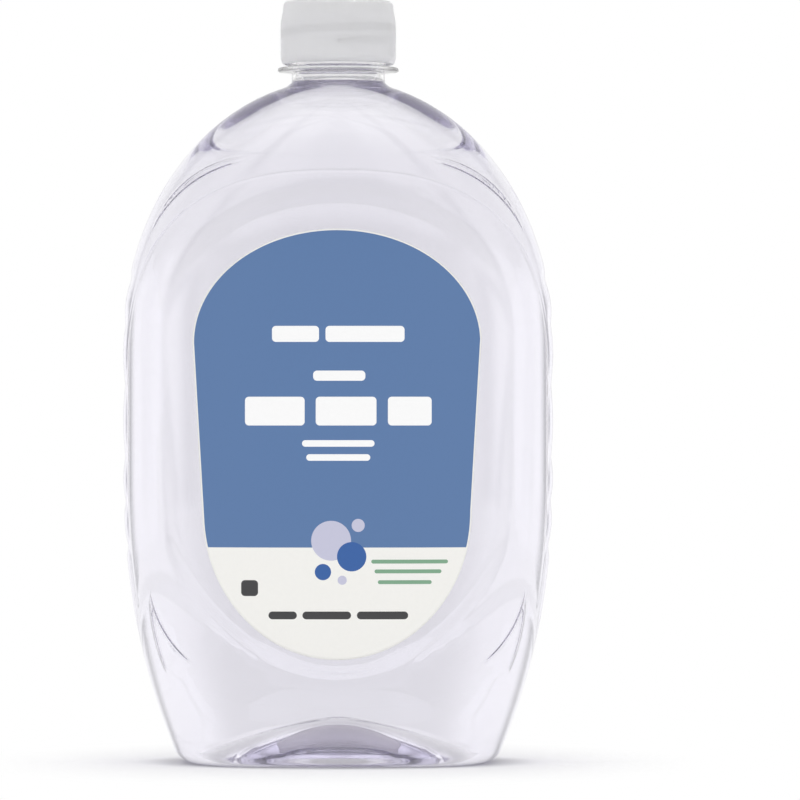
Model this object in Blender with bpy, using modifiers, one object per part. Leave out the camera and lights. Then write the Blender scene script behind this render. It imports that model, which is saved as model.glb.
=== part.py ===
"""Hand soap refill bottle: a flat oval blow-moulded bottle, full of soap, closed by a screw cap.

Metres, +Z up. The bottle stands on z = 0, centred on the Z axis, and its front faces -Y.
"""
import math

import bmesh
import bpy
import numpy as np

# Body, outside
HALF_WIDTH = 0.06725            # X, at the straight waist
HALF_DEPTH = 0.0390             # Y, at the straight waist
WAIST_LOW = 0.094               # the sides start to tuck in below this height
FOOT_TUCK = 0.0180              # how far each side has come in at the floor
FOOT_TUCK_DEPTH = 0.0045        # the same for the front and the back
FOOT_POWER = 2.35
FOOT_RADIUS = 0.004             # rounding between wall and floor
SHOULDER_SIDE = (0.1312, 0.082)     # seen from the front: start height and rise of the quarter ellipse
SHOULDER_FRONT = (0.1500, 0.0660)   # seen from the side
BODY_SQUARENESS = 2.75          # superellipse exponent of the body's section, 2 is a plain ellipse
ROUNDING_SPAN = 0.055           # height over which the section turns from body to round neck
SHOULDER_MIDDLE = 0.186         # from here up the shoulder is rounder and needs closer rings

# Base: a flat standing ring round a dome pushed up into the bottle
STANDING_RING = 0.90            # its inner edge, as a part of its outer edge
DOME_HEIGHT = 0.0133
DOME_POWER = 1.6
BASE_RINGS = (0.12, 0.3, 0.48, 0.66, 0.84, 1.0)     # rings of points under the base, as parts of its edge

# Front and back: a recessed panel that keeps the label from scuffing
PANEL_DEPTH = 0.0013
PANEL_SLOPE = (0.0070, 0.0150)      # distance outside the label's edge where the slope starts and ends
PANEL_SLOPE_LOW = (0.0025, 0.0060)  # the same under the label's lower end

# Side grips: five pillows with sharp valleys between them, on each narrow side
GRIP_VALLEYS = (0.0676, 0.0816, 0.0951, 0.1179, 0.1364, 0.1505)
GRIP_DEPTH = 0.0006
GRIP_HALF_SPAN = 0.0155         # in Y
GRIP_FADE = 0.006

# Walls
WALL = 0.0006
BASE_WALL = 0.0020
BASE_WALL_END = 0.012           # height by which the base's thick wall has thinned to the side's
NECK_WALL_START = 0.196         # height from which the wall thickens again towards the neck
GAP = 0.0003                    # between touching pieces

# Neck and screw finish
NECK_RADIUS = 0.01455
NECK_BASE = 0.2113
RING_RADIUS = 0.0189
RING_LOW = 0.2153
RING_HIGH = 0.2171
FINISH_RADIUS = 0.01495
LIP_HEIGHT = 0.2346
LIP_ROUND = 0.0005
BORE_RADIUS = 0.0128
PITCH = 0.0042333               # six threads to the inch
THREAD_TURNS = 1.5
THREAD_TOP = 0.2318             # centre of the ridge at its upper end
THREAD_RADIUS = 0.0162
THREAD_ROOT_WIDTH = 0.0020
THREAD_CREST_WIDTH = 0.0009

# Soap
FILL_HEIGHT = 0.2118            # the soap stands at the foot of the neck

# Cap and liner
CAP_LOW = 0.2179
CAP_TOP = 0.2377
CAP_RADIUS = 0.01805
CAP_TOP_RADIUS = 0.01715
CAP_TAPER_START = 0.2300
CAP_FOOT_RADIUS = 0.01735
CAP_BORE_RADIUS = 0.01675
CAP_CEILING = 0.2362
CAP_THREAD_RADIUS = 0.0156
CAP_THREAD_TURNS = 1.25
CAP_THREAD_ROOT_WIDTH = 0.0016
CAP_THREAD_CREST_WIDTH = 0.00072
LINER_RADIUS = 0.0163
LINER_LOW = LIP_HEIGHT + GAP
LINER_HIGH = CAP_CEILING - GAP

# Labels: one film on the front and one on the back
LABEL_TOP_CENTRE = 0.1307       # centre height of the upper half ellipse
LABEL_TOP_HALF_WIDTH = 0.0444
LABEL_TOP_RISE = 0.0348
LABEL_LOW_CENTRE = 0.0788       # centre height of the lower half ellipse
LABEL_LOW_HALF_WIDTH = 0.0413
LABEL_LOW_DROP = 0.0455
LABEL_THICKNESS = 0.0002
BACK_LABEL_SCALE = 0.78         # the back label is the front one's shape at this size, in the same panel

# Facets
AROUND = 40
TURN_STEPS = 48
THREAD_STEPS = 24


def smooth_step(low, high, value):
    """0 below low, 1 above high, and an S curve between them."""
    t = np.clip((value - low) / (high - low), 0.0, 1.0)
    return t * t * (3.0 - 2.0 * t)


def quarter_ellipse(z, half, start_and_rise):
    start, rise = start_and_rise
    t = np.clip((z - start) / rise, 0.0, 1.0)
    return half * math.sqrt(1.0 - t * t)


def foot_inset(z):
    """How far the rounding at the foot draws the wall in at height z."""
    below = max(FOOT_RADIUS - z, 0.0)
    return FOOT_RADIUS - math.sqrt(FOOT_RADIUS ** 2 - below ** 2)


def body_half_sizes(z):
    """Half the width and half the depth of the outside at height z, neck excluded."""
    tuck = (max(WAIST_LOW - z, 0.0) / WAIST_LOW) ** FOOT_POWER
    width = quarter_ellipse(z, HALF_WIDTH, SHOULDER_SIDE) - FOOT_TUCK * tuck - foot_inset(z)
    depth = quarter_ellipse(z, HALF_DEPTH, SHOULDER_FRONT) - FOOT_TUCK_DEPTH * tuck - foot_inset(z)
    return max(width, NECK_RADIUS), max(depth, NECK_RADIUS)


def squareness(z):
    rounded = smooth_step(NECK_BASE - ROUNDING_SPAN, NECK_BASE, z)
    return BODY_SQUARENESS + (2.0 - BODY_SQUARENESS) * rounded


def section(half_x, half_y, exponent):
    """Points of one superellipse, as an array of X and an array of Y."""
    turn = np.linspace(0.0, 2.0 * math.pi, AROUND, endpoint=False)
    c, s = np.cos(turn), np.sin(turn)
    reach = (np.abs(c) ** exponent + np.abs(s) ** exponent) ** (-1.0 / exponent)
    return half_x * c * reach, half_y * s * reach


def label_half_width(z):
    """Half the label's width at height z, 0 at and past its two ends."""
    if z >= LABEL_TOP_CENTRE:
        t = min((z - LABEL_TOP_CENTRE) / LABEL_TOP_RISE, 1.0)
        return LABEL_TOP_HALF_WIDTH * math.sqrt(1.0 - t * t)
    if z <= LABEL_LOW_CENTRE:
        t = min((LABEL_LOW_CENTRE - z) / LABEL_LOW_DROP, 1.0)
        return LABEL_LOW_HALF_WIDTH * math.sqrt(1.0 - t * t)
    t = (z - LABEL_LOW_CENTRE) / (LABEL_TOP_CENTRE - LABEL_LOW_CENTRE)
    return LABEL_LOW_HALF_WIDTH + (LABEL_TOP_HALF_WIDTH - LABEL_LOW_HALF_WIDTH) * t


def outside_label(x, z):
    """Distance from the label's edge, negative inside it, good to a fraction of a millimetre nearby."""
    centre = min(max(z, LABEL_LOW_CENTRE), LABEL_TOP_CENTRE)
    half = label_half_width(centre)
    rise = LABEL_TOP_RISE if z > centre else LABEL_LOW_DROP
    norm = np.sqrt((x / half) ** 2 + ((z - centre) / rise) ** 2)
    slope = np.sqrt((x / half ** 2) ** 2 + ((z - centre) / rise ** 2) ** 2)
    return norm * (norm - 1.0) / np.maximum(slope, 1.0)


def panel_recess(x, z):
    """Depth of the label's panel under the front or back face."""
    low = smooth_step(LABEL_LOW_CENTRE, LABEL_LOW_CENTRE - LABEL_LOW_DROP, z)
    start = PANEL_SLOPE[0] + (PANEL_SLOPE_LOW[0] - PANEL_SLOPE[0]) * low
    end = PANEL_SLOPE[1] + (PANEL_SLOPE_LOW[1] - PANEL_SLOPE[1]) * low
    return PANEL_DEPTH * (1.0 - smooth_step(start, end, outside_label(x, z)))


def grip_recess(y, z):
    """Depth of a side grip: full in the valleys, none on the crest of each pillow."""
    if not GRIP_VALLEYS[0] < z < GRIP_VALLEYS[-1]:
        return np.zeros_like(y)
    below = max(v for v in GRIP_VALLEYS if v <= z)
    above = min(v for v in GRIP_VALLEYS if v > z)
    crest = math.sin(math.pi * (z - below) / (above - below))
    return GRIP_DEPTH * (1.0 - crest) * smooth_step(GRIP_HALF_SPAN, GRIP_HALF_SPAN - GRIP_FADE, np.abs(y))


def body_ring(z):
    """One ring of points on the body's outside, with its panel and grip relief."""
    half_x, half_y = body_half_sizes(z)
    x, y = section(half_x, half_y, squareness(z))
    y = y - np.sign(y) * panel_recess(x, z)
    x = x - np.sign(x) * grip_recess(y, z)
    return np.column_stack([x, y, np.full(AROUND, z)])


def base_ring(fraction):
    """One ring under the base: 1 is the inner edge of the standing ring, 0 the middle of the dome."""
    half_x, half_y = body_half_sizes(0.0)
    x, y = section(half_x * STANDING_RING * fraction, half_y * STANDING_RING * fraction, squareness(0.0))
    return np.column_stack([x, y, np.full(AROUND, DOME_HEIGHT * (1.0 - fraction ** DOME_POWER))])


def round_ring(radius, z):
    x, y = section(radius, radius, 2.0)
    return np.column_stack([x, y, np.full(AROUND, z)])


def spaced(start, stop, count):
    return np.linspace(start, stop, count, endpoint=False)


def body_heights():
    """Heights of the body's rings: close together where it curves, and on every valley and crest."""
    heights = [FOOT_RADIUS * (1.0 - math.cos(a)) for a in spaced(0.0, math.pi / 2, 4)]
    heights += list(spaced(FOOT_RADIUS, GRIP_VALLEYS[0], 13))
    for low, high in zip(GRIP_VALLEYS, GRIP_VALLEYS[1:]):
        heights += list(spaced(low, high, 3))
    heights += list(spaced(GRIP_VALLEYS[-1], SHOULDER_MIDDLE, 7))
    rise = NECK_BASE - SHOULDER_MIDDLE
    heights += [SHOULDER_MIDDLE + rise * math.sin(a) for a in spaced(0.0, math.pi / 2, 8)]
    return heights


def grid_normals(grid):
    """Outward normals of a grid of rings that runs from the base's middle up to the neck."""
    around = np.roll(grid, -1, axis=1) - np.roll(grid, 1, axis=1)
    along = np.gradient(grid, axis=0)
    normals = np.cross(around, along)
    return normals / np.linalg.norm(normals, axis=2, keepdims=True)


def skin_rings():
    """The outside from the dome to the neck's root, its normals and its wall thickness."""
    rings = [base_ring(fraction) for fraction in BASE_RINGS]
    rings += [body_ring(z) for z in body_heights()]
    grid = np.array(rings)
    normals = grid_normals(grid)
    thin = smooth_step(0.0, BASE_WALL_END, grid[:, :, 2])
    thin[:len(BASE_RINGS)] = 0.0
    wall = BASE_WALL + (WALL - BASE_WALL) * thin
    wall = wall + (NECK_RADIUS - BORE_RADIUS - WALL) * smooth_step(NECK_WALL_START, NECK_BASE, grid[:, :, 2])
    return grid, normals, wall[:, :, None]


def new_object(name, mesh_maker, material):
    """Make a mesh object from a bmesh that mesh_maker fills, shaded smooth with sharp edges kept."""
    bm = bmesh.new()
    mesh_maker(bm)
    bmesh.ops.recalc_face_normals(bm, faces=bm.faces)
    mesh = bpy.data.meshes.new(name)
    bm.to_mesh(mesh)
    bm.free()
    mesh.shade_smooth()
    mesh.set_sharp_from_angle(angle=math.radians(35))
    mesh.materials.append(material)
    thing = bpy.data.objects.new(name, mesh)
    PARTS.objects.link(thing)
    return thing


def loft(bm, rings, first_middle, last_middle):
    """Skin a list of rings into one closed surface, with a fan of triangles at each end."""
    rows = [[bm.verts.new(point) for point in ring] for ring in rings]
    for low, high in zip(rows, rows[1:]):
        for i in range(AROUND):
            j = (i + 1) % AROUND
            bm.faces.new((low[i], low[j], high[j], high[i]))
    for row, middle in ((rows[0], first_middle), (rows[-1], last_middle)):
        centre = bm.verts.new(middle)
        for i in range(AROUND):
            bm.faces.new((centre, row[i], row[(i + 1) % AROUND]))
    bmesh.ops.triangulate(bm, faces=bm.faces)


def new_material(name, colour, roughness, metallic=0.0, alpha=1.0):
    made = bpy.data.materials.new(name)
    made.use_nodes = True
    shader = made.node_tree.nodes["Principled BSDF"]
    shader.inputs["Base Color"].default_value = (*colour, 1.0)
    shader.inputs["Roughness"].default_value = roughness
    shader.inputs["Metallic"].default_value = metallic
    shader.inputs["Alpha"].default_value = alpha
    return made


def apply_union(target, other):
    """Join other to target as one solid and remove other."""
    joint = target.modifiers.new("join", "BOOLEAN")
    joint.operation = "UNION"
    joint.solver = "EXACT"
    joint.object = other
    depsgraph = bpy.context.evaluated_depsgraph_get()
    joined = bpy.data.meshes.new_from_object(target.evaluated_get(depsgraph))
    target.modifiers.clear()
    target.data = joined
    bpy.data.objects.remove(other)


def helix_ridge(bm, turns, top, root, crest, root_width, crest_width):
    """A thread ridge of trapezium section that winds down from top and runs out at both ends."""
    steps = round(turns * THREAD_STEPS)
    rows = []
    for i in range(steps + 1):
        turn = -2.0 * math.pi * i / THREAD_STEPS
        middle = top + PITCH * turn / (2.0 * math.pi)
        run_out = min(i, steps - i, 2) / 2.0
        tip = root + (crest - root) * (0.15 + 0.85 * run_out)
        half_root = root_width / 2.0
        half_crest = crest_width / 2.0
        row = []
        for radius, offset in ((root, half_root), (tip, half_crest), (tip, -half_crest), (root, -half_root)):
            place = (radius * math.cos(turn), radius * math.sin(turn), middle + offset)
            row.append(bm.verts.new(place))
        rows.append(row)
    for one, two in zip(rows, rows[1:]):
        for i in range(4):
            j = (i + 1) % 4
            bm.faces.new((one[i], one[j], two[j], two[i]))
    bm.faces.new(rows[0])
    bm.faces.new(rows[-1])
    bmesh.ops.triangulate(bm, faces=bm.faces)


def turned(name, profile, look):
    """Turn a profile of (radius, height) points round the Z axis with a Screw modifier."""
    mesh = bpy.data.meshes.new(name)
    points = [(radius, 0.0, z) for radius, z in profile]
    mesh.from_pydata(points, [(i, i + 1) for i in range(len(points) - 1)], [])
    mesh.materials.append(look)
    thing = bpy.data.objects.new(name, mesh)
    PARTS.objects.link(thing)
    screw = thing.modifiers.new("turn", "SCREW")
    screw.steps = TURN_STEPS
    screw.render_steps = TURN_STEPS
    screw.use_merge_vertices = True
    screw.merge_threshold = 0.00001
    return thing


def make_bottle():
    """The blow-moulded bottle: outside skin, neck finish, bore and inside skin in one closed wall."""
    skin, normals, wall = skin_rings()
    inside = skin - normals * wall
    neck = [
        (NECK_RADIUS + 0.0006, NECK_BASE + 0.0003),
        (NECK_RADIUS, NECK_BASE + 0.0012),
        (NECK_RADIUS, RING_LOW),
        (RING_RADIUS, RING_LOW + 0.0004),
        (RING_RADIUS, RING_HIGH - 0.0004),
        (FINISH_RADIUS, RING_HIGH),
        (FINISH_RADIUS, RING_HIGH + 0.0034),
        (FINISH_RADIUS, RING_HIGH + 0.0104),
        (FINISH_RADIUS, LIP_HEIGHT - LIP_ROUND),
        (FINISH_RADIUS - LIP_ROUND, LIP_HEIGHT),
        (BORE_RADIUS + LIP_ROUND, LIP_HEIGHT),
        (BORE_RADIUS, LIP_HEIGHT - LIP_ROUND),
        (BORE_RADIUS, (LIP_HEIGHT + FILL_HEIGHT) / 2.0),
        (BORE_RADIUS, FILL_HEIGHT),
    ]
    rings = list(skin) + [round_ring(r, z) for r, z in neck] + list(inside[::-1])
    low_middle = (0.0, 0.0, DOME_HEIGHT)
    high_middle = (0.0, 0.0, DOME_HEIGHT + BASE_WALL)
    look = new_material("clear_pet", (0.86, 0.85, 0.92), 0.05, alpha=0.35)

    def fill_wall(bm):
        loft(bm, rings, low_middle, high_middle)

    def fill_ridge(bm):
        helix_ridge(bm, THREAD_TURNS, THREAD_TOP, FINISH_RADIUS - GAP, THREAD_RADIUS,
                    THREAD_ROOT_WIDTH, THREAD_CREST_WIDTH)

    apply_union(new_object("bottle", fill_wall, look), new_object("ridge", fill_ridge, look))


def make_soap():
    """The liquid, as the solid it fills: the bottle's inside less a small gap."""
    skin, normals, wall = skin_rings()
    inside = skin - normals * (wall + GAP)
    neck = round_ring(BORE_RADIUS - GAP, FILL_HEIGHT)
    look = new_material("liquid_soap", (0.90, 0.88, 0.96), 0.0, alpha=0.3)
    rings = list(inside) + [neck]
    low_middle = (0.0, 0.0, DOME_HEIGHT + BASE_WALL + GAP)

    def fill(bm):
        loft(bm, rings, low_middle, (0.0, 0.0, FILL_HEIGHT))

    new_object("soap", fill, look)


def make_cap():
    """The injection-moulded cap, tapered above a straight skirt, with its thread inside."""
    profile = [
        (0.0, CAP_TOP),
        (CAP_TOP_RADIUS - 0.0040, CAP_TOP - 0.0001),
        (CAP_TOP_RADIUS - 0.0010, CAP_TOP - 0.0004),
        (CAP_TOP_RADIUS - 0.0003, CAP_TOP - 0.0007),
        (CAP_TOP_RADIUS, CAP_TOP - 0.0014),
        (CAP_RADIUS, CAP_TAPER_START),
        (CAP_RADIUS, CAP_LOW + 0.0025),
        (CAP_FOOT_RADIUS + 0.0004, CAP_LOW + 0.0008),
        (CAP_FOOT_RADIUS, CAP_LOW),
        (CAP_BORE_RADIUS, CAP_LOW),
        (CAP_BORE_RADIUS, CAP_LOW + 0.0061),
        (CAP_BORE_RADIUS, CAP_TAPER_START),
        (CAP_BORE_RADIUS, CAP_CEILING),
        (0.0, CAP_CEILING),
    ]
    look = new_material("moulded_pp", (0.80, 0.80, 0.82), 0.35, alpha=0.85)

    def fill_ridge(bm):
        helix_ridge(bm, CAP_THREAD_TURNS, THREAD_TOP - PITCH / 2.0, CAP_BORE_RADIUS + GAP,
                    CAP_THREAD_RADIUS, CAP_THREAD_ROOT_WIDTH, CAP_THREAD_CREST_WIDTH)

    apply_union(turned("cap", profile, look), new_object("cap_ridge", fill_ridge, look))


def make_liner():
    """The foam disc in the top of the cap, which seals on the bottle's lip."""
    look = new_material("foam_liner", (0.90, 0.90, 0.88), 0.7)
    profile = [(0.0, LINER_HIGH), (LINER_RADIUS, LINER_HIGH), (LINER_RADIUS, LINER_LOW), (0.0, LINER_LOW)]
    turned("seal_liner", profile, look)


def face_depth(x, z):
    """Distance of the panel's floor from the XZ plane at a point under the label."""
    half_x, half_y = body_half_sizes(z)
    exponent = squareness(z)
    return half_y * (1.0 - (abs(x) / half_x) ** exponent) ** (1.0 / exponent) - PANEL_DEPTH


def make_label(name, facing, scale):
    """A printed film that follows the panel's floor. facing is -1 for the front and 1 for the back."""
    look = new_material(name + "_film", (0.12, 0.22, 0.43), 0.35)
    columns = np.linspace(-1.0, 1.0, 11)
    low_end = LABEL_LOW_CENTRE - LABEL_LOW_DROP
    high_end = LABEL_TOP_CENTRE + LABEL_TOP_RISE
    middle = (low_end + high_end) / 2.0
    reach = (high_end - low_end) / 2.0
    tip = 0.12                  # angle of the end rows, which keeps each end of the outline a short edge
    offsets = [-reach * math.cos(a) for a in np.linspace(tip, math.pi - tip, 24)]

    def fill(bm):
        sheets = []
        for lift in (GAP, GAP + LABEL_THICKNESS):
            rows = []
            for offset in offsets:
                half = label_half_width(middle + offset) * scale
                z = middle + offset * scale
                rows.append([bm.verts.new((c * half, facing * (face_depth(c * half, z) + lift), z))
                             for c in columns])
            sheets.append(rows)
        last_row, last_column = len(offsets) - 1, len(columns) - 1
        for rows in sheets:
            for r in range(last_row):
                for c in range(last_column):
                    bm.faces.new((rows[r][c], rows[r][c + 1], rows[r + 1][c + 1], rows[r + 1][c]))
        edge = [(0, c) for c in range(last_column)]
        edge += [(r, last_column) for r in range(last_row)]
        edge += [(last_row, c) for c in range(last_column, 0, -1)]
        edge += [(r, 0) for r in range(last_row, 0, -1)]
        under, over = sheets
        for (r1, c1), (r2, c2) in zip(edge, edge[1:] + edge[:1]):
            bm.faces.new((under[r1][c1], under[r2][c2], over[r2][c2], over[r1][c1]))
        bmesh.ops.triangulate(bm, faces=bm.faces)

    new_object(name, fill, look)


for leftover in list(bpy.data.objects):
    bpy.data.objects.remove(leftover)

PARTS = bpy.data.collections.new("hand_soap_refill_bottle")
bpy.context.scene.collection.children.link(PARTS)

make_bottle()
make_soap()
make_cap()
make_liner()
make_label("front_label", -1.0, 1.0)
make_label("back_label", 1.0, BACK_LABEL_SCALE)
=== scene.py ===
import math

import bmesh
import bpy
import numpy as np
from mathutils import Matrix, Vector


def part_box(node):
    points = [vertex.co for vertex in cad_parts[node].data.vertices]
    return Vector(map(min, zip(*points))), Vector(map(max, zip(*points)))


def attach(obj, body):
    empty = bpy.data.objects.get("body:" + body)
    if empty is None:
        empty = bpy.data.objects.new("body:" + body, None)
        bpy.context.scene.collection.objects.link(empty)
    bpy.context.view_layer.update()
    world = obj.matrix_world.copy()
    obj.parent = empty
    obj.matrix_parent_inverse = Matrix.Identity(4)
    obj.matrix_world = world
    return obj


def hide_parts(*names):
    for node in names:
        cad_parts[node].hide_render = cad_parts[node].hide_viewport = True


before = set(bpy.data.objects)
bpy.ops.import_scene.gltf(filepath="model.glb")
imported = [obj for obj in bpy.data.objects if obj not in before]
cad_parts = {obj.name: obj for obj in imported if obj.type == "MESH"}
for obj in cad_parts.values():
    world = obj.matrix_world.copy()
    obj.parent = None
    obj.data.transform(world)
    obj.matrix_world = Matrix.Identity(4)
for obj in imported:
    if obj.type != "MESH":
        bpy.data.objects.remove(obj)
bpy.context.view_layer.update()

# ---- Bottle ------------------------------------------------------------------------------------
# The clear bottle: a PET preform, stretch-blown in a two-part mould, so that the wall is thin and
# even and every panel, grip and groove is on its inside as well. The neck keeps the preform's thick
# moulded finish, with its thread and the ring that the preform was carried by.

bottle_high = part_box("bottle")[1]
soap_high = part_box("soap")[1]
label_low, label_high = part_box("front_label")

panel_depth = 0.0013
half_width = bottle_high.x
half_depth = bottle_high.y + panel_depth
waist_low = 0.094               # the sides tuck in below this height
foot_tuck = 0.0180
foot_tuck_depth = 0.0045
foot_power = 2.35
foot_radius = 0.004
shoulder_side = (0.1312, 0.0820)    # start height and rise of the quarter ellipse seen from the front
shoulder_front = (0.1500, 0.0660)   # the same seen from the side
body_squareness = 2.75          # superellipse exponent of the section
rounding_span = 0.055
standing_ring = 0.90            # inner edge of the flat ring, as a part of its outer edge
dome_height = 0.0133
dome_power = 1.6

neck_radius = 0.01455
neck_base = 0.2113
ring_radius = 0.0189
ring_low = 0.2153
ring_high = 0.2171
finish_radius = 0.01495
lip_height = bottle_high.z
bore_radius = 0.0128
pitch = 0.0042333               # six threads to the inch
wall = 0.0006
base_wall = 0.0020

label_top_centre = 0.1307       # the label's outline: half ellipses joined by straight tapered sides
label_top_half_width = 0.0444
label_top_rise = 0.0348
label_low_centre = 0.0788
label_low_half_width = 0.0413
label_low_drop = 0.0455
panel_slope = (0.0070, 0.0150)
panel_slope_low = (0.0025, 0.0060)

grip_valleys = (0.0676, 0.0816, 0.0951, 0.1179, 0.1364, 0.1505)
grip_depth = 0.0006
grip_half_span = 0.0155
grip_fade = 0.004

face_edge_centre = 0.1190       # line that frames the front and the back face, fainter on the back
face_edge_size = (0.0653, 0.0645)
face_edge_power = 2.6
groove_depth = 0.00012
groove_half_width = 0.0014

crescent_outer = (0.02615, 0.1557, 0.03264)     # centre X, centre Z and radius of the arcs on the shoulder
crescent_inner = (0.0226, 0.1480, 0.0393)
crescent_ends = (0.0290, 0.0345)    # how far out, in X, the crescents fade in from the middle
wedge_outer = (-0.0003, 0.0531, 0.0582)     # the same for the leaf tips above the foot
wedge_inner = (0.0235, 0.0600, 0.0353)
wedge_ends = (0.0270, 0.0330)   # heights between which the leaf tips fade in
wedge_reach = (0.0430, 0.0490)  # and the same in X
moulded_step = 0.00035
step_width = 0.0009
wall_ripple = 0.026316          # spacing of the slow waves that blowing leaves in the wall
wall_haze = 0.003846            # spacing of its duller and brighter patches


def smooth_step(low, high, value):
    t = np.clip((value - low) / (high - low), 0.0, 1.0)
    return t * t * (3.0 - 2.0 * t)


def quarter_ellipse(z, half, start_and_rise):
    start, rise = start_and_rise
    t = np.clip((z - start) / rise, 0.0, 1.0)
    return half * np.sqrt(1.0 - t * t)


def body_half_sizes(z):
    tuck = (np.maximum(waist_low - z, 0.0) / waist_low) ** foot_power
    below = np.maximum(foot_radius - z, 0.0)
    inset = foot_radius - np.sqrt(foot_radius ** 2 - below ** 2)
    width = quarter_ellipse(z, half_width, shoulder_side) - foot_tuck * tuck - inset
    depth = quarter_ellipse(z, half_depth, shoulder_front) - foot_tuck_depth * tuck - inset
    return np.maximum(width, neck_radius), np.maximum(depth, neck_radius)


def squareness(z):
    return body_squareness + (2.0 - body_squareness) * smooth_step(neck_base - rounding_span, neck_base, z)


def outside_label(x, z):
    """Distance from the label's edge, negative inside it."""
    centre = np.clip(z, label_low_centre, label_top_centre)
    up = (centre - label_low_centre) / (label_top_centre - label_low_centre)
    half = label_low_half_width + (label_top_half_width - label_low_half_width) * up
    rise = np.where(z > centre, label_top_rise, label_low_drop)
    norm = np.sqrt((x / half) ** 2 + ((z - centre) / rise) ** 2)
    slope = np.sqrt((x / half ** 2) ** 2 + ((z - centre) / rise ** 2) ** 2)
    reach = np.where(norm > 0.001, norm / np.maximum(slope, 0.01), half)
    return reach * (norm - 1.0)


def panel_recess(x, z):
    low = smooth_step(label_low_centre, label_low_centre - label_low_drop, z)
    start = panel_slope[0] + (panel_slope_low[0] - panel_slope[0]) * low
    end = panel_slope[1] + (panel_slope_low[1] - panel_slope[1]) * low
    return panel_depth * (1.0 - smooth_step(start, end, outside_label(x, z)))


def grip_recess(y, z):
    recess = np.zeros_like(z)
    for low, high in zip(grip_valleys, grip_valleys[1:]):
        crest = np.sin(np.pi * np.clip((z - low) / (high - low), 0.0, 1.0))
        recess = np.where((z >= low) & (z <= high), grip_depth * (1.0 - crest), recess)
    ends = smooth_step(grip_valleys[0] - 0.004, grip_valleys[0], z)
    ends = ends * smooth_step(grip_valleys[-1] + 0.004, grip_valleys[-1], z)
    recess = np.where((z < grip_valleys[0]) | (z > grip_valleys[-1]), grip_depth * ends, recess)
    return recess * smooth_step(grip_half_span, grip_half_span - grip_fade, np.abs(y))


def inside_arc(x, z, arc):
    """How far a point is inside an arc given by its centre and radius."""
    return arc[2] - np.hypot(x - arc[0], z - arc[1])


def moulded_line(x, z):
    """Distance inside the crescents and wedges, negative outside them, for their sharp edges."""
    side = np.abs(x)
    crescent = np.minimum(inside_arc(side, z, crescent_outer), -inside_arc(side, z, crescent_inner))
    crescent = np.where(z > crescent_outer[1], crescent, -0.01)
    wedge = np.minimum(inside_arc(side, z, wedge_outer), -inside_arc(side, z, wedge_inner))
    wedge = np.where(z < wedge_inner[1], wedge, -0.01)
    return np.maximum(crescent, wedge)


def moulded_strength(x, z):
    """How sharp the crescents' and wedges' edges are: they fade out where they meet the smooth face."""
    side = np.abs(x)
    wedge = smooth_step(*wedge_ends, z) * smooth_step(*wedge_reach, side)
    return np.where(z > crescent_outer[1], smooth_step(*crescent_ends, side), wedge)


def off_face_edge(x, z):
    """Distance from the line that frames each face, positive on the side of the narrow flanks."""
    side = np.abs(x)
    size_x, size_z = face_edge_size
    rise = np.maximum(z - face_edge_centre, 0.0) / size_z
    family = ((side / size_x) ** face_edge_power + rise ** face_edge_power) ** (1.0 / face_edge_power)
    straight = side - (body_half_sizes(z)[0] - (half_width - size_x))
    return np.where(z > face_edge_centre, (family - 1.0) * size_x, straight)


def fine_relief(x, z):
    """Height of the fine moulded lines over the front and back face, along the surface's normal."""
    side = np.abs(x)
    groove = -groove_depth * np.exp(-(off_face_edge(x, z) / groove_half_width) ** 2)
    groove = groove * smooth_step(0.044, 0.060, z)

    crescent = smooth_step(0.0, step_width, inside_arc(side, z, crescent_outer))
    crescent = crescent * smooth_step(0.0, step_width, -inside_arc(side, z, crescent_inner))
    crescent = crescent * moulded_strength(x, z) * (z > crescent_outer[1])

    wedge = smooth_step(0.0, step_width, inside_arc(side, z, wedge_outer))
    wedge = wedge * smooth_step(0.0, step_width, -inside_arc(side, z, wedge_inner))
    wedge = wedge * moulded_strength(x, z) * (z < wedge_inner[1])
    return groove + moulded_step * (crescent + wedge)


def section(turn, half_x, half_y, exponent):
    c, s = np.cos(turn), np.sin(turn)
    reach = (np.abs(c) ** exponent + np.abs(s) ** exponent) ** (-1.0 / exponent)
    return half_x * c * reach, half_y * s * reach


def grid_normals(grid):
    """Outward normals of a grid of rings that runs from the middle of the base up to the neck."""
    around = np.roll(grid, -1, axis=1) - np.roll(grid, 1, axis=1)
    along = np.gradient(grid, axis=0)
    normals = np.cross(around, along)
    return normals / np.linalg.norm(normals, axis=2, keepdims=True)


def skin(turn, heights, base_steps):
    """The bottle's outside from the middle of the base to the neck, as a grid of points."""
    rings = []
    foot_x, foot_y = body_half_sizes(0.0)
    for fraction in base_steps:
        x, y = section(turn, foot_x * standing_ring * fraction, foot_y * standing_ring * fraction,
                       body_squareness)
        rings.append(np.column_stack([x, y, np.full_like(x, dome_height * (1.0 - fraction ** dome_power))]))
    for z in heights:
        level = np.full_like(turn, z)
        size_x, size_y = body_half_sizes(z)
        x, y = section(turn, size_x, size_y, squareness(z))
        y = y - np.sign(y) * panel_recess(x, level)
        x = x - np.sign(x) * grip_recess(y, level)
        rings.append(np.column_stack([x, y, level]))
    return np.array(rings)


def wall_thickness(grid, base_count):
    z = grid[:, :, 2]
    thin = smooth_step(0.0, 0.012, z)
    thin[:base_count] = 0.0
    thick = base_wall + (wall - base_wall) * thin
    thick = thick + (neck_radius - bore_radius - wall) * smooth_step(0.196, neck_base, z)
    return thick[:, :, None]


def runs(*stretches):
    """Values at the given spacing along each stretch of (start, stop, spacing), without repeats."""
    values = []
    for start, stop, spacing in stretches:
        count = max(round(abs(stop - start) / spacing), 1)
        values += list(np.linspace(start, stop, count, endpoint=False))
    return values


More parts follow.
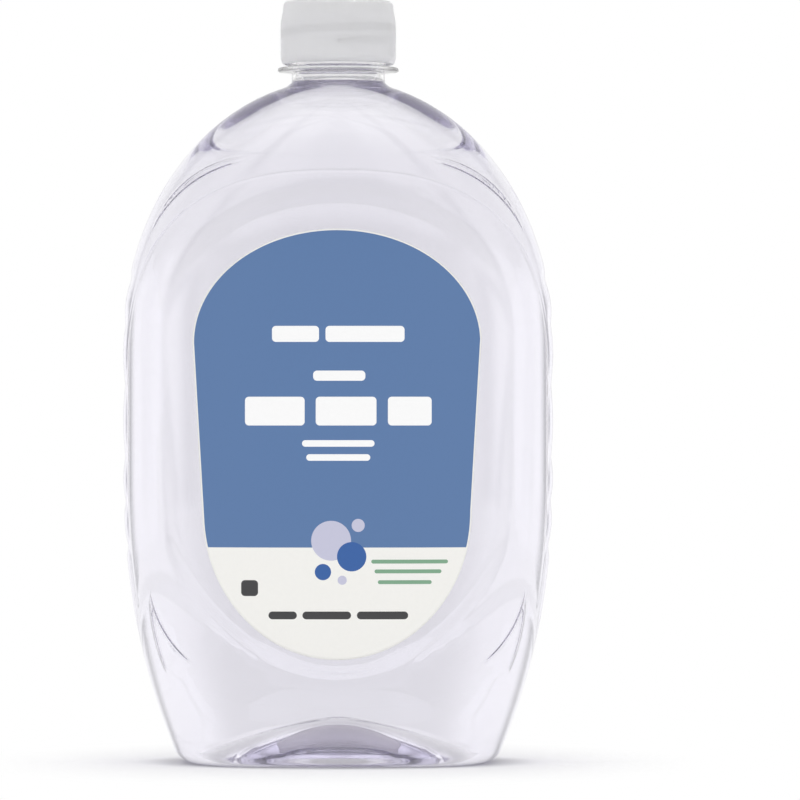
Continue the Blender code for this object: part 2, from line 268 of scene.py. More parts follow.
def columns_for(spacing):
    """Angles round the section: wide under the label, close over the shoulder lines, wide at the sides."""
    reach = np.linspace(0.0, math.pi / 2.0, 4000)
    x, y = section(reach, half_width, half_depth, body_squareness)
    run = np.concatenate([[0.0], np.cumsum(np.hypot(np.diff(x), np.diff(y)))])
    gap = np.where(x < 0.026, 3.2, np.where(x < 0.060, 1.0, 1.7)) * spacing
    count = np.concatenate([[0.0], np.cumsum(np.diff(run) / gap[1:])])
    total = max(round(count[-1]), 4)
    quarter = np.interp(np.linspace(0.0, count[-1], total + 1), count, reach)
    half = np.concatenate([quarter, math.pi - quarter[-2:0:-1]])
    return np.concatenate([half, half + math.pi])


def round_rings(turn, profile):
    return [np.column_stack([r * np.cos(turn), r * np.sin(turn), np.full_like(turn, z)])
            for r, z in profile]


def arc_points(centre_r, centre_z, radius, start, stop, steps):
    """Points of an arc in a turned profile, start and stop in degrees from the outward direction."""
    angles = np.radians(np.linspace(start, stop, steps))
    return [(centre_r + radius * math.cos(a), centre_z + radius * math.sin(a)) for a in angles]


def loft(name, rings, first_middle=None, last_middle=None):
    """Skin rings of equal length into a smooth mesh, closed by a fan at an end that has a middle."""
    around = len(rings[0])
    points = np.concatenate(rings)
    ids = np.arange(len(points)).reshape(len(rings), around)
    low, high = ids[:-1], ids[1:]
    corners = [low, np.roll(low, -1, axis=1), np.roll(high, -1, axis=1), high]
    quads = np.stack(corners, axis=2).reshape(-1, 4)
    faces = quads.tolist()
    points = points.tolist()
    for row, middle, flip in ((ids[0], first_middle, True), (ids[-1], last_middle, False)):
        if middle is not None:
            points.append(middle)
            for one, two in zip(row, np.roll(row, -1)):
                pair = (int(two), int(one)) if flip else (int(one), int(two))
                faces.append((len(points) - 1, *pair))
    mesh = bpy.data.meshes.new(name)
    mesh.from_pydata(points, [], faces)
    mesh.update()
    mesh.shade_smooth()
    made = bpy.data.objects.new(name, mesh)
    bpy.context.scene.collection.objects.link(made)
    return made


def thread_ridge(name, start_turn, turns, top, root, crest, steps_per_turn=96):
    """A screw thread's ridge with a rounded crest, winding down from top and running out at its ends."""
    rows = []
    steps = round(turns * steps_per_turn)
    shape = [(0.0, 0.00105), (0.35, 0.00088), (0.8, 0.00062), (1.0, 0.00035),
             (1.0, -0.00035), (0.8, -0.00062), (0.35, -0.00088), (0.0, -0.00105)]
    for i in range(steps + 1):
        turn = start_turn - 2.0 * math.pi * i / steps_per_turn
        middle = top + pitch * (turn - start_turn) / (2.0 * math.pi)
        run_out = smooth_step(0.0, 9.0, float(min(i, steps - i)))
        rows.append([((root + (crest - root) * out * run_out) * math.cos(turn),
                      (root + (crest - root) * out * run_out) * math.sin(turn),
                      middle + offset * (0.6 + 0.4 * run_out)) for out, offset in shape])
    points = [point for row in rows for point in row]
    sides = len(shape)
    faces = [(r * sides + i, r * sides + (i + 1) % sides,
              (r + 1) * sides + (i + 1) % sides, (r + 1) * sides + i)
             for r in range(steps) for i in range(sides)]
    faces += [tuple(range(sides - 1, -1, -1)), tuple(steps * sides + i for i in range(sides))]
    mesh = bpy.data.meshes.new(name)
    mesh.from_pydata(points, [], faces)
    fixed = bmesh.new()
    fixed.from_mesh(mesh)
    bmesh.ops.recalc_face_normals(fixed, faces=fixed.faces)
    fixed.to_mesh(mesh)
    fixed.free()
    mesh.shade_smooth()
    made = bpy.data.objects.new(name, mesh)
    bpy.context.scene.collection.objects.link(made)
    return made


def linear(hex_colour):
    """An sRGB hex colour as the linear colour that Blender's sockets take."""
    parts = [int(hex_colour[i:i + 2], 16) / 255.0 for i in (0, 2, 4)]
    return (*[p / 12.92 if p <= 0.04045 else ((p + 0.055) / 1.055) ** 2.4 for p in parts], 1.0)


def add(tree, kind, settings=None, **links):
    """Add a node: settings are its own properties, links its inputs by name or number.

    A whole node given as a link stands for its first output.
    """
    node = tree.nodes.new(kind)
    for key, value in (settings or {}).items():
        setattr(node, key, value)
    for key, value in links.items():
        socket = node.inputs[int(key[1:]) if key[0] == "i" and key[1:].isdigit() else key.replace("_", " ")]
        if isinstance(value, bpy.types.Node):
            value = value.outputs[0]
        if isinstance(value, bpy.types.NodeSocket):
            tree.links.new(value, socket)
        else:
            socket.default_value = value
    return node


def new_material(name):
    """A material with only its Principled shader, and that shader, to add to."""
    made = bpy.data.materials.new(name)
    made.use_nodes = True
    return made, made.node_tree, made.node_tree.nodes["Principled BSDF"]


def blown_pet():
    """Stretch-blown PET: clear and glossy like glass, with the slow ripple that a thin blown wall has."""
    made, tree, shader = new_material("blown_clear_pet")
    shader.inputs["Base Color"].default_value = linear("FFFFFF")
    shader.inputs["Transmission Weight"].default_value = 1.0
    shader.inputs["IOR"].default_value = 1.575
    place = add(tree, "ShaderNodeTexCoord").outputs["Object"]
    ripple = add(tree, "ShaderNodeTexNoise", Vector=place, Scale=1.0 / wall_ripple, Detail=1.0,
                 Roughness=0.4)
    haze = add(tree, "ShaderNodeTexNoise", Vector=place, Scale=1.0 / wall_haze, Detail=3.0)
    rough = add(tree, "ShaderNodeMapRange", Value=haze.outputs["Fac"], i1=0.35, i2=0.75, i3=0.0, i4=0.03)
    bump = add(tree, "ShaderNodeBump", Strength=0.12, Distance=0.0006, Height=ripple.outputs["Fac"])
    normal = bump.outputs["Normal"]
    for distance_name, strength_name, half_width_of_line, height in (
            ("moulded_line", "moulded_strength", 0.00050, 0.00050),
            ("face_edge", "face_edge_strength", 0.0008, -0.00020)):
        line = add(tree, "ShaderNodeAttribute", {"attribute_name": distance_name})
        strength = add(tree, "ShaderNodeAttribute", {"attribute_name": strength_name})
        off_line = add(tree, "ShaderNodeMath", {"operation": "ABSOLUTE"}, i0=line.outputs["Fac"])
        ridge = add(tree, "ShaderNodeMapRange", {"interpolation_type": "SMOOTHSTEP"},
                    Value=off_line.outputs[0], i1=0.0, i2=half_width_of_line, i3=height, i4=0.0)
        lift = add(tree, "ShaderNodeMath", {"operation": "MULTIPLY"}, i0=ridge.outputs["Result"],
                   i1=strength.outputs["Fac"])
        normal = add(tree, "ShaderNodeBump", Strength=1.0, Distance=1.0, Height=lift.outputs[0],
                     Normal=normal).outputs["Normal"]
    tree.links.new(rough.outputs["Result"], shader.inputs["Roughness"])
    tree.links.new(normal, shader.inputs["Normal"])
    return made


detail = 1.0
outer_turn = columns_for(0.00084 * detail)
outer_heights = runs((0.0, foot_radius, 0.0006 * detail), (foot_radius, 0.026, 0.0016 * detail),
                     (0.026, 0.053, 0.00075 * detail), (0.053, grip_valleys[0], 0.0016 * detail))
for valley, next_valley in zip(grip_valleys, grip_valleys[1:]):
    outer_heights += runs((valley, next_valley, (next_valley - valley) / (10 / detail)))
outer_heights += runs((grip_valleys[-1], 0.165, 0.0014 * detail), (0.165, 0.191, 0.00075 * detail),
                      (0.191, 0.205, 0.0010 * detail), (0.205, neck_base, 0.0006 * detail))
base_steps = list(np.linspace(0.03, 1.0, 16))

outside = skin(outer_turn, outer_heights, base_steps)
outside_relief = fine_relief(outside[:, :, 0], outside[:, :, 2])
outside_relief[:len(base_steps)] = 0.0
outside = outside + grid_normals(outside) * outside_relief[:, :, None]

inner_heights = runs((0.0, foot_radius, 0.0013), (foot_radius, grip_valleys[0], 0.0049))
for valley, next_valley in zip(grip_valleys, grip_valleys[1:]):
    inner_heights += runs((valley, next_valley, (next_valley - valley) / 5))
inner_heights += runs((grip_valleys[-1], 0.190, 0.0030), (0.190, neck_base, 0.0014))
inner_base_steps = list(np.linspace(0.06, 1.0, 9))
under_skin = skin(outer_turn, inner_heights, inner_base_steps)
under_normals = grid_normals(under_skin)
under_wall = wall_thickness(under_skin, len(inner_base_steps))
inside = under_skin - under_normals * under_wall

neck_profile = arc_points(neck_radius + 0.0010, neck_base + 0.0013, 0.0010, 250, 180, 4)
neck_profile += [(neck_radius, z) for z in (0.2135, ring_low - 0.0004)]
neck_profile += arc_points(neck_radius + 0.0004, ring_low - 0.0004, 0.0004, 180, 90, 3)
neck_profile += [(0.0168, ring_low + 0.00015)]
neck_profile += arc_points(ring_radius - 0.0005, ring_low + 0.0007, 0.0005, -90, 0, 4)
neck_profile += arc_points(ring_radius - 0.0005, ring_high - 0.0008, 0.0005, 0, 80, 4)
neck_profile += [(0.0168, ring_high - 0.00015)]
neck_profile += arc_points(finish_radius + 0.0005, ring_high + 0.0005, 0.0005, 270, 180, 4)
neck_profile += [(finish_radius, z) for z in np.linspace(0.2200, lip_height - 0.0008, 5)]
neck_profile += arc_points(finish_radius - 0.0006, lip_height - 0.0006, 0.0006, 0, 90, 5)
neck_profile += arc_points(bore_radius + 0.0005, lip_height - 0.0005, 0.0005, 90, 180, 4)
neck_profile += [(bore_radius, z) for z in np.linspace(0.2310, soap_high.z, 5)]

bottle = loft("blown_bottle", list(outside) + round_rings(outer_turn, neck_profile) + list(inside[::-1]),
              (0.0, 0.0, dome_height), (0.0, 0.0, dome_height + base_wall))
outside_x, outside_y, outside_z = outside[:, :, 0], outside[:, :, 1], outside[:, :, 2]
edge_strength = smooth_step(0.044, 0.060, outside_z) * np.where(outside_y < 0.0, 1.0, 0.2)
for field_name, field in (("moulded_line", moulded_line(outside_x, outside_z)),
                          ("moulded_strength", moulded_strength(outside_x, outside_z)),
                          ("face_edge", off_face_edge(outside_x, outside_z)),
                          ("face_edge_strength", edge_strength)):
    values = np.zeros(len(bottle.data.vertices), np.float32)
    values[:field.size] = field.ravel()
    bottle.data.attributes.new(field_name, "FLOAT", "POINT").data.foreach_set("value", values)
clear_pet = blown_pet()
bottle.data.materials.append(clear_pet)
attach(bottle, "bottle")
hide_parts("bottle")

neck_thread = thread_ridge("neck_thread", 0.0, 1.5, 0.2318, finish_radius - 0.0002, 0.0162)
neck_thread.data.materials.append(clear_pet)
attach(neck_thread, "bottle")

# ---- Soap --------------------------------------------------------------------------------------
# The liquid hand soap, filled hot to the neck. It wets the wall all over, so its surface lies on
# the wall's inside, and it creeps up the bore a little where the two meet.

wetting = 0.00012               # how far the liquid's surface lies inside the wall, so no air shows between
meniscus_rise = 0.0005


def clear_soap():
    """Liquid soap: water-clear, bends light a little more than water, and has a faint lilac tint."""
    made, tree, shader = new_material("clear_liquid_soap")
    shader.inputs["Base Color"].default_value = linear("FFFFFF")
    shader.inputs["Transmission Weight"].default_value = 1.0
    shader.inputs["IOR"].default_value = 1.35
    shader.inputs["Roughness"].default_value = 0.0
    tint = add(tree, "ShaderNodeVolumeAbsorption", Color=(0.70, 0.673, 0.806, 1.0), Density=9.0)
    tree.links.new(tint.outputs["Volume"], tree.nodes["Material Output"].inputs["Volume"])
    return made


soap_skin = under_skin - under_normals * (under_wall - wetting)
bore = bore_radius + wetting
meniscus = [(bore, soap_high.z), (bore, soap_high.z + meniscus_rise), (bore - 0.0003, soap_high.z + 0.0003)]
meniscus += [(bore - 0.0009, soap_high.z + 0.00012), (bore - 0.0020, soap_high.z + 0.00003),
             (bore - 0.0040, soap_high.z), (bore - 0.0090, soap_high.z)]
soap = loft("liquid_soap", list(soap_skin) + round_rings(outer_turn, meniscus),
            (0.0, 0.0, dome_height + base_wall - wetting), (0.0, 0.0, soap_high.z))
soap.data.materials.append(clear_soap())
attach(soap, "bottle")
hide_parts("soap")

# ---- Labels ------------------------------------------------------------------------------------
# Two die-cut pieces of white polypropylene film, printed and varnished, each stuck into its panel.
# The print is a blue field over a white one, with bubbles where they meet and bars for the words.

film_glue_depth = 0.00012       # how far the film's glued side lies in the wall, so no air shows between
film_proud = 0.00012            # how far its printed side stands proud of the wall
print_margin = 0.00045          # white edge left round the blue field
back_label_scale = (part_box("back_label")[1].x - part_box("back_label")[0].x) / (label_high.x - label_low.x)
field_break = 0.0678            # height where the blue field ends
bar_corner = 0.0012
ink_mottle = 0.0011111          # spacing of the slight unevenness of the ink
varnish_peel = 0.002381         # spacing of the waves in the varnish


def face_depth(x, z):
    """Distance of the panel's floor from the XZ plane, the same curve as the bottle's own wall."""
    size_x, size_y = body_half_sizes(z)
    power = squareness(z)
    return size_y * (1.0 - (np.abs(x) / size_x) ** power) ** (1.0 / power) - panel_depth


def label_outline(count):
    """Points of the label's edge, from its lower end round to the right."""
    turn = np.linspace(0.0, 2.0 * math.pi, count, endpoint=False)
    top = np.cos(turn) < 0.0
    half = np.where(top, label_top_half_width, label_low_half_width)
    rise = np.where(top, label_top_rise, label_low_drop)
    centre = np.where(top, label_top_centre, label_low_centre)
    return half * np.sin(turn), centre - rise * np.cos(turn)


def film_label(name, facing, scale, material):
    """A thin film bent to the panel: rings of points from its middle out to its edge, on both faces."""
    steps = np.concatenate([np.linspace(0.04, 0.93, 20), [0.96, 0.985, 1.0]])
    edge_x, edge_z = label_outline(144)
    middle_z = (label_top_centre + label_top_rise + label_low_centre - label_low_drop) / 2.0
    edge_x, edge_z = edge_x * scale, middle_z + (edge_z - middle_z) * scale
    rings = []
    for lift, order in ((film_proud, steps), (-film_glue_depth, steps[::-1])):
        for step in order:
            x, z = edge_x * step, middle_z + (edge_z - middle_z) * step
            rings.append(np.column_stack([x, facing * (face_depth(x, z) + lift), z]))
    middle_y = float(face_depth(np.array(0.0), middle_z))
    made = loft(name, rings, (0.0, facing * (middle_y + film_proud), middle_z),
                (0.0, facing * (middle_y - film_glue_depth), middle_z))
    where = np.array([v.co for v in made.data.vertices])
    inside_edge = -outside_label(where[:, 0] / scale, middle_z + (where[:, 2] - middle_z) / scale) * scale
    glued = facing * where[:, 1] < face_depth(where[:, 0], where[:, 2])
    edge = made.data.attributes.new("print_distance", "FLOAT", "POINT")
    edge.data.foreach_set("value", np.where(glued, -0.001, inside_edge).astype(np.float32))
    fixed = bmesh.new()
    fixed.from_mesh(made.data)
    bmesh.ops.recalc_face_normals(fixed, faces=fixed.faces)
    fixed.to_mesh(made.data)
    fixed.free()
    made.data.shade_smooth()
    made.data.materials.append(material)
    return made


def mark_mask(tree, place, centre_x, centre_z, half_x, half_z, corner):
    """1 inside a printed mark with round corners and 0 outside, whatever its depth."""
    where = place
    for operation, value in (("SUBTRACT", (centre_x, 0.0, centre_z)),
                             ("MULTIPLY", (1.0, 0.0, 1.0)),
                             ("ABSOLUTE", (0.0, 0.0, 0.0)),
                             ("SUBTRACT", (half_x - corner, 0.0, half_z - corner)),
                             ("MAXIMUM", (0.0, 0.0, 0.0))):
        where = add(tree, "ShaderNodeVectorMath", {"operation": operation}, i0=where, i1=value)
    past_corner = add(tree, "ShaderNodeVectorMath", {"operation": "LENGTH"}, i0=where)
    return add(tree, "ShaderNodeMath", {"operation": "LESS_THAN"},
               i0=past_corner.outputs["Value"], i1=corner)


def paint(tree, below, colour, mask):
    """Lay a printed colour over what is below it where the mask is 1."""
    painted = add(tree, "ShaderNodeMix", {"data_type": "RGBA"}, i0=mask, i6=below, i7=linear(colour))
    return painted.outputs[2]


def printed_film(name, mirrored, bars, discs):
    """Varnished polypropylene film: even satin shine, with a fine orange peel and a slight ink mottle."""
    made, tree, shader = new_material(name)
    place = add(tree, "ShaderNodeTexCoord").outputs["Object"]
    turned = add(tree, "ShaderNodeVectorMath", {"operation": "MULTIPLY"}, i0=place,
                 i1=(-1.0 if mirrored else 1.0, 1.0, 1.0))
    height = add(tree, "ShaderNodeSeparateXYZ", Vector=place).outputs["Z"]
    edge = add(tree, "ShaderNodeAttribute", {"attribute_name": "print_distance"}).outputs["Fac"]
    printed = add(tree, "ShaderNodeMath", {"operation": "GREATER_THAN"}, i0=edge, i1=0.0)
    above_break = add(tree, "ShaderNodeMath", {"operation": "GREATER_THAN"}, i0=height, i1=field_break)
    off_margin = add(tree, "ShaderNodeMath", {"operation": "GREATER_THAN"}, i0=edge, i1=print_margin)
    field = add(tree, "ShaderNodeMath", {"operation": "MULTIPLY"}, i0=above_break, i1=off_margin)
    film = add(tree, "ShaderNodeRGB")
    film.outputs[0].default_value = linear("F7F6F2")
    colour = paint(tree, film.outputs[0], "587AAA", field)
    marks = [(x, z, radius, radius, radius, ink) for x, z, radius, ink in discs]
    marks += [((left + right) / 2.0, (low + high) / 2.0, (right - left) / 2.0, (high - low) / 2.0,
               min((high - low) / 2.0, bar_corner), ink) for left, right, low, high, ink in bars]
    for *shape, ink in marks:
        mask = mark_mask(tree, turned, *shape)
        on_film = add(tree, "ShaderNodeMath", {"operation": "MULTIPLY"}, i0=printed, i1=mask)
        colour = paint(tree, colour, ink, on_film)
    mottle = add(tree, "ShaderNodeTexNoise", Vector=place, Scale=1.0 / ink_mottle, Detail=3.0)
    tone = add(tree, "ShaderNodeMapRange", Value=mottle.outputs["Fac"], i1=0.3, i2=0.7, i3=0.985, i4=1.0)
    toned = add(tree, "ShaderNodeVectorMath", {"operation": "SCALE"}, i0=colour)
    tree.links.new(tone.outputs["Result"], toned.inputs["Scale"])
    tree.links.new(toned.outputs["Vector"], shader.inputs["Base Color"])
    rough = add(tree, "ShaderNodeMapRange", Value=mottle.outputs["Fac"], i1=0.3, i2=0.7, i3=0.30, i4=0.40)
    tree.links.new(rough.outputs["Result"], shader.inputs["Roughness"])
    peel = add(tree, "ShaderNodeTexNoise", Vector=place, Scale=1.0 / varnish_peel, Detail=1.0)
    bump = add(tree, "ShaderNodeBump", Strength=0.05, Distance=0.0002, Height=peel.outputs["Fac"])
    tree.links.new(bump.outputs["Normal"], shader.inputs["Normal"])
    shader.inputs["IOR"].default_value = 1.49
    return made


white_ink, dark_ink, deep_ink, pale_ink, grey_ink = "FFFFFF", "3A3A3C", "2D5FA5", "C9C9DF", "6E7F8E"
green_ink = "7FA98B"
front_bars = [
    (-0.0199, -0.0055, 0.1308, 0.1357, white_ink), (-0.0035, 0.0207, 0.1308, 0.1357, white_ink),
    (-0.0073, 0.0087, 0.1189, 0.1220, white_ink),
    (-0.0282, -0.0099, 0.1052, 0.1140, white_ink), (-0.0065, 0.0121, 0.1052, 0.1140, white_ink),
    (0.0156, 0.0290, 0.1052, 0.1140, white_ink),
    (-0.0107, 0.0115, 0.0987, 0.1007, white_ink), (-0.0094, 0.0102, 0.0944, 0.0964, white_ink),
    (0.0105, 0.0340, 0.0629, 0.0641, green_ink), (0.0115, 0.0320, 0.0599, 0.0611, green_ink),
    (0.0125, 0.0290, 0.0566, 0.0578, green_ink), (-0.0294, -0.0242, 0.0529, 0.0578, dark_ink),
    (-0.0210, -0.0123, 0.0458, 0.0482, dark_ink), (-0.0106, 0.0043, 0.0458, 0.0482, dark_ink),
    (0.0061, 0.0218, 0.0458, 0.0482, dark_ink),
]
front_discs = [
    (-0.0018, 0.0699, 0.0061, pale_ink), (0.0045, 0.0650, 0.0045, deep_ink),
    (-0.0043, 0.0603, 0.0025, deep_ink), (0.0065, 0.0746, 0.0020, pale_ink),
    (0.0016, 0.0578, 0.0014, pale_ink),
]
back_bars = [(-0.0120, 0.0120, 0.1390, 0.1416, white_ink)]
for row in range(12):
    short = 0.009 if row % 4 == 3 else 0.0015 * (row % 3)
    back_bars.append((-0.0270, 0.0270 - short, 0.1300 - 0.0042 * row, 0.1314 - 0.0042 * row, white_ink))
for row in range(2):
    drop = 0.0040 * row
    back_bars.append((-0.0140, 0.0140 - drop, 0.0606 - drop, 0.0620 - drop, grey_ink))
back_discs = [(0.0, 0.0705, 0.0026, pale_ink), (0.0038, 0.0686, 0.0016, deep_ink)]

front_label = film_label("front_label_film", -1.0, 1.0,
                         printed_film("printed_front_film", False, front_bars, front_discs))
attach(front_label, "bottle")
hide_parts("front_label")
back_label = film_label("back_label_film", 1.0, back_label_scale,
                        printed_film("printed_back_film", True, back_bars, back_discs))
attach(back_label, "bottle")
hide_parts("back_label")

# ---- Seal liner --------------------------------------------------------------------------------
# A disc punched from white foamed polyethylene sheet and pressed into the cap, where it seals on
# the bottle's lip. It rises with the cap.

liner_low, liner_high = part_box("seal_liner")
foam_cell = 0.00030303          # width of one cut cell


def turned(name, profile, steps):
    """Turn a profile of (radius, height) points round the Z axis, from the top round to the bottom."""
    turn = np.linspace(0.0, 2.0 * math.pi, steps, endpoint=False)
    made = loft(name, round_rings(turn, profile[1:-1]),
                (0.0, 0.0, profile[0][1]), (0.0, 0.0, profile[-1][1]))
    fixed = bmesh.new()
    fixed.from_mesh(made.data)
    bmesh.ops.recalc_face_normals(fixed, faces=fixed.faces)
    fixed.to_mesh(made.data)
    fixed.free()
    made.data.shade_smooth()
    return made


def foamed_polyethylene():
    """Foamed polyethylene sheet: dull white, with the tiny dimples of cut cells about 0.3 mm across."""
    made, tree, shader = new_material("foamed_polyethylene")
    shader.inputs["Base Color"].default_value = linear("F1F1EC")
    shader.inputs["Roughness"].default_value = 0.75
    place = add(tree, "ShaderNodeTexCoord").outputs["Object"]
    cells = add(tree, "ShaderNodeTexVoronoi", Vector=place, Scale=1.0 / foam_cell)
    bump = add(tree, "ShaderNodeBump", Strength=0.4, Distance=0.0001, Height=cells.outputs["Distance"])
    tree.links.new(bump.outputs["Normal"], shader.inputs["Normal"])
    return made


liner_edge = 0.0001
liner_radius = liner_high.x
liner_profile = [(0.0, liner_high.z), (liner_radius - liner_edge, liner_high.z),
                 (liner_radius, liner_high.z - liner_edge), (liner_radius, liner_low.z + liner_edge),
                 (liner_radius - liner_edge, liner_low.z), (0.0, liner_low.z)]
liner = turned("foam_seal_liner", liner_profile, 96)
liner.data.materials.append(foamed_polyethylene())
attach(liner, "liner")
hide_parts("seal_liner")

# ---- Cap ---------------------------------------------------------------------------------------
# The screw cap: one injection moulding in uncoloured polypropylene, smooth outside, with a straight
# skirt, a slightly drafted upper part and a single thread inside.

cap_low, cap_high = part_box("cap")
cap_radius = cap_high.x
cap_top_radius = cap_radius - 0.0009
cap_foot_radius = cap_radius - 0.0007
cap_taper_start = 0.2300
cap_bore_radius = 0.01675
cap_ceiling = liner_high.z + 0.0003
mould_grain = 0.0014286         # spacing of the faint unevenness of the moulded skin


def natural_polypropylene():
    """Uncoloured polypropylene: milky and a little see-through, with the satin skin of a polished mould."""
    made, tree, shader = new_material("natural_moulded_polypropylene")
    shader.inputs["Base Color"].default_value = linear("F7F7F8")
    shader.inputs["Transmission Weight"].default_value = 0.5
    shader.inputs["IOR"].default_value = 1.49
    place = add(tree, "ShaderNodeTexCoord").outputs["Object"]
    skin_noise = add(tree, "ShaderNodeTexNoise", Vector=place, Scale=1.0 / mould_grain, Detail=2.0)
    rough = add(tree, "ShaderNodeMapRange", Value=skin_noise.outputs["Fac"],
                i1=0.3, i2=0.7, i3=0.36, i4=0.41)
    tree.links.new(rough.outputs["Result"], shader.inputs["Roughness"])
    bump = add(tree, "ShaderNodeBump", Strength=0.03, Distance=0.0002, Height=skin_noise.outputs["Fac"])
    tree.links.new(bump.outputs["Normal"], shader.inputs["Normal"])
    return made


cap_profile = [(0.0, cap_high.z), (0.006, cap_high.z - 0.00004), (0.012, cap_high.z - 0.00012)]
cap_profile += arc_points(cap_top_radius - 0.0013, cap_high.z - 0.0015, 0.0013, 85, 5, 7)
cap_profile += [(cap_top_radius + 0.0001, cap_high.z - 0.0025),
                (cap_radius - 0.00005, cap_taper_start + 0.0006), (cap_radius, cap_taper_start - 0.0004),
                (cap_radius, 0.2240), (cap_radius, cap_low.z + 0.0026)]
cap_profile += [(cap_radius - 0.00015, cap_low.z + 0.0015), (cap_foot_radius + 0.0002, cap_low.z + 0.0005)]
cap_profile += arc_points(cap_foot_radius - 0.0002, cap_low.z + 0.0002, 0.0002, 0, -90, 4)
cap_profile += [(cap_bore_radius + 0.0001, cap_low.z), (cap_bore_radius, cap_low.z + 0.0002)]
cap_profile += [(cap_bore_radius, z) for z in (0.2210, 0.2260, 0.2310, cap_ceiling - 0.0003)]
cap_profile += [(cap_bore_radius - 0.0003, cap_ceiling), (0.008, cap_ceiling), (0.0, cap_ceiling)]
cap = turned("screw_cap", cap_profile, 160)
moulded_pp = natural_polypropylene()
cap.data.materials.append(moulded_pp)
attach(cap, "cap")
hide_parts("cap")

cap_thread = thread_ridge("cap_thread", 0.0, 1.25, 0.2318 - pitch / 2.0, cap_bore_radius + 0.0002, 0.0156)
cap_thread.data.materials.append(moulded_pp)
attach(cap_thread, "cap")

# ---- Studio ------------------------------------------------------------------------------------
# A white sweep in a light tent, as for a catalogue, with a level camera well back. The tent's cloth
# is darker at its four seams and towards its roof, which is what draws the edges of clear plastic.

scene = bpy.context.scene
scene.view_settings.view_transform = "Standard"
scene.cycles.max_bounces = 48
scene.cycles.transmission_bounces = 48
scene.cycles.glossy_bounces = 48
scene.cycles.diffuse_bounces = 24
scene.cycles.blur_glossy = 0.0

camera_data = bpy.data.cameras.new("camera")
camera_data.lens = 259.0
camera = bpy.data.objects.new("camera", camera_data)
camera.location = (0.0193, -1.80, 0.113)
camera.rotation_euler = (math.pi / 2.0, 0.0, 0.0)
scene.collection.objects.link(camera)
scene.camera = camera

tent_gain = 1.08
middle_tone = 0.82              # the cloth straight behind, in front and at each side of the object
middle_end = (6.0, 18.0)        # degrees off those directions, between which it turns to full white
seam_start = (35.0, 45.0)       # degrees between which it darkens again to the seam at each corner
seam_tone = 0.50
roof_start = (8.0, 35.0)        # degrees of elevation between which the upper walls darken
roof_tone = 0.85
top_start = (50.0, 70.0)        # degrees of elevation from which the lamp over the roof shines through
top_tone = 1.7

lit_paper_end = (0.055, 0.12)   # distances between which the paper turns from lit by the tent to glowing
sweep_end = (1.4, 2.6)          # distances between which its glow turns from plain white to the tent's own
painted_shadow_reach = (1.0, 1.45)     # where the painted contact shadow starts and ends, in half sizes of the foot
painted_shadow_tones = (0.55, 0.90)    # the paper's colour at those two: a shadow painted darker into the paper round the foot
paper_lift = 0.10               # even light added to the lit paper


def tent_light(tree, direction):
    """Brightness of the tent in a direction from its middle."""
    level = add(tree, "ShaderNodeVectorMath", {"operation": "NORMALIZE"}, i0=direction)
    height = add(tree, "ShaderNodeSeparateXYZ", Vector=level).outputs["Z"]
    unsigned = add(tree, "ShaderNodeVectorMath", {"operation": "ABSOLUTE"}, i0=level)
    split = add(tree, "ShaderNodeSeparateXYZ", Vector=unsigned).outputs
    near = add(tree, "ShaderNodeMath", {"operation": "MINIMUM"}, i0=split["X"], i1=split["Y"])
    far = add(tree, "ShaderNodeMath", {"operation": "MAXIMUM"}, i0=split["X"], i1=split["Y"])
    off_axis = add(tree, "ShaderNodeMath", {"operation": "ARCTAN2"}, i0=near, i1=far)
    rise = add(tree, "ShaderNodeMath", {"operation": "ARCSINE"}, i0=height)
    light = tent_gain
    for angle, (start, end), low, high in ((off_axis, middle_end, middle_tone, 1.0),
                                           (off_axis, seam_start, 1.0, seam_tone),
                                           (rise, roof_start, 1.0, roof_tone),
                                           (rise, top_start, 1.0, top_tone)):
        step = add(tree, "ShaderNodeMapRange", {"interpolation_type": "SMOOTHSTEP"}, Value=angle,
                   i1=math.radians(start), i2=math.radians(end), i3=low, i4=high)
        light = add(tree, "ShaderNodeMath", {"operation": "MULTIPLY"}, i0=step, i1=light)
    return light


def white_to_camera(tree, strength):
    """Plain white where the camera sees it, and the given strength where it lights the object."""
    seen = add(tree, "ShaderNodeLightPath").outputs["Is Camera Ray"]
    return add(tree, "ShaderNodeMath", {"operation": "MAXIMUM"}, i0=seen, i1=strength).outputs[0]


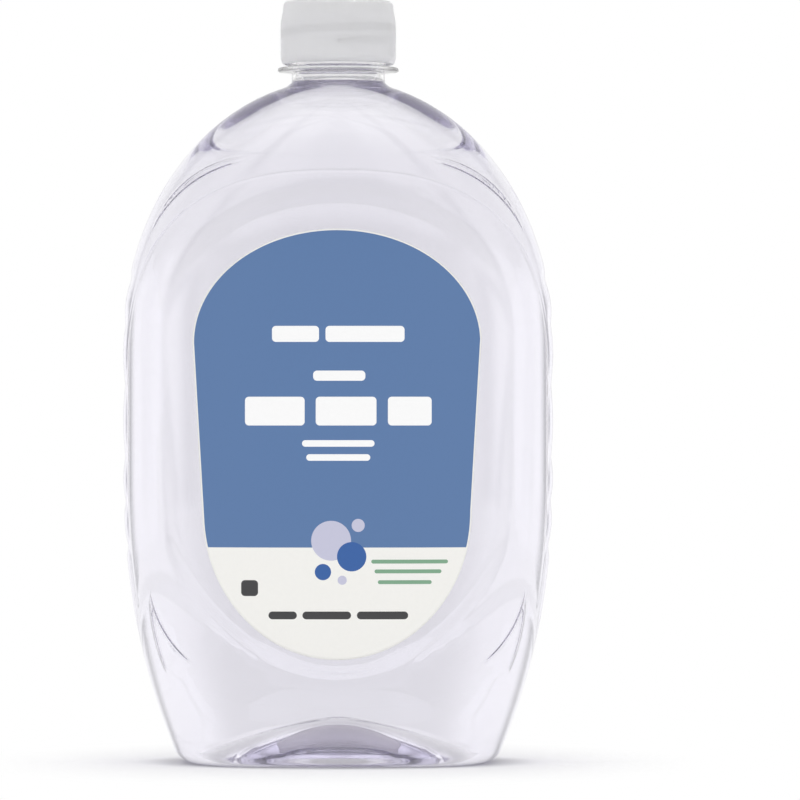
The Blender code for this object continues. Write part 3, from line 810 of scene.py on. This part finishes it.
bpy.ops.mesh.primitive_plane_add(size=6.0, location=(0.0, 0.0, -0.0001))
floor = bpy.context.object
floor.name = "floor"
paper, paper_tree = new_material("white_sweep")[:2]
paper_place = add(paper_tree, "ShaderNodeTexCoord").outputs["Object"]
paper_distance = add(paper_tree, "ShaderNodeVectorMath", {"operation": "LENGTH"}, i0=paper_place)
foot_x, foot_y = body_half_sizes(0.0)
in_foot_sizes = add(paper_tree, "ShaderNodeVectorMath", {"operation": "MULTIPLY"}, i0=paper_place,
                    i1=(1.0 / foot_x, 1.0 / foot_y, 0.0))
from_foot = add(paper_tree, "ShaderNodeVectorMath", {"operation": "LENGTH"}, i0=in_foot_sizes)
blends = []
for far_off, (start, end), low, high in ((paper_distance, lit_paper_end, 0.0, 1.0),
                                         (from_foot, painted_shadow_reach, *painted_shadow_tones),
                                         (paper_distance, sweep_end, 0.0, 1.0)):
    blends.append(add(paper_tree, "ShaderNodeMapRange", {"interpolation_type": "SMOOTHSTEP"},
                      Value=far_off.outputs["Value"], i1=start, i2=end, i3=low, i4=high))
to_glowing, painted_shadow_tone, to_tent = blends
# Painted shadow: the paper's own colour is made darker round the foot to stand for its contact shadow,
# besides the shade that the lighting casts.
matt = add(paper_tree, "ShaderNodeBsdfDiffuse", Color=painted_shadow_tone)
lift = add(paper_tree, "ShaderNodeEmission", Strength=paper_lift)
lit_paper = add(paper_tree, "ShaderNodeAddShader", i0=matt, i1=lift)
tone = add(paper_tree, "ShaderNodeMix", i0=to_tent, i2=1.0, i3=tent_light(paper_tree, paper_place))
glow = add(paper_tree, "ShaderNodeEmission", Strength=white_to_camera(paper_tree, tone))
whole_paper = add(paper_tree, "ShaderNodeMixShader", i0=to_glowing, i1=lit_paper, i2=glow)
paper_tree.links.new(whole_paper.outputs[0], paper_tree.nodes["Material Output"].inputs["Surface"])
floor.data.materials.append(paper)

world = bpy.data.worlds.new("light_tent")
scene.world = world
world.use_nodes = True
world_tree = world.node_tree
world_direction = add(world_tree, "ShaderNodeTexCoord").outputs["Generated"]
world_tree.links.new(white_to_camera(world_tree, tent_light(world_tree, world_direction)),
                     world_tree.nodes["Background"].inputs["Strength"])
world_tree.nodes["Background"].inputs["Color"].default_value = (1.0, 1.0, 1.0, 1.0)
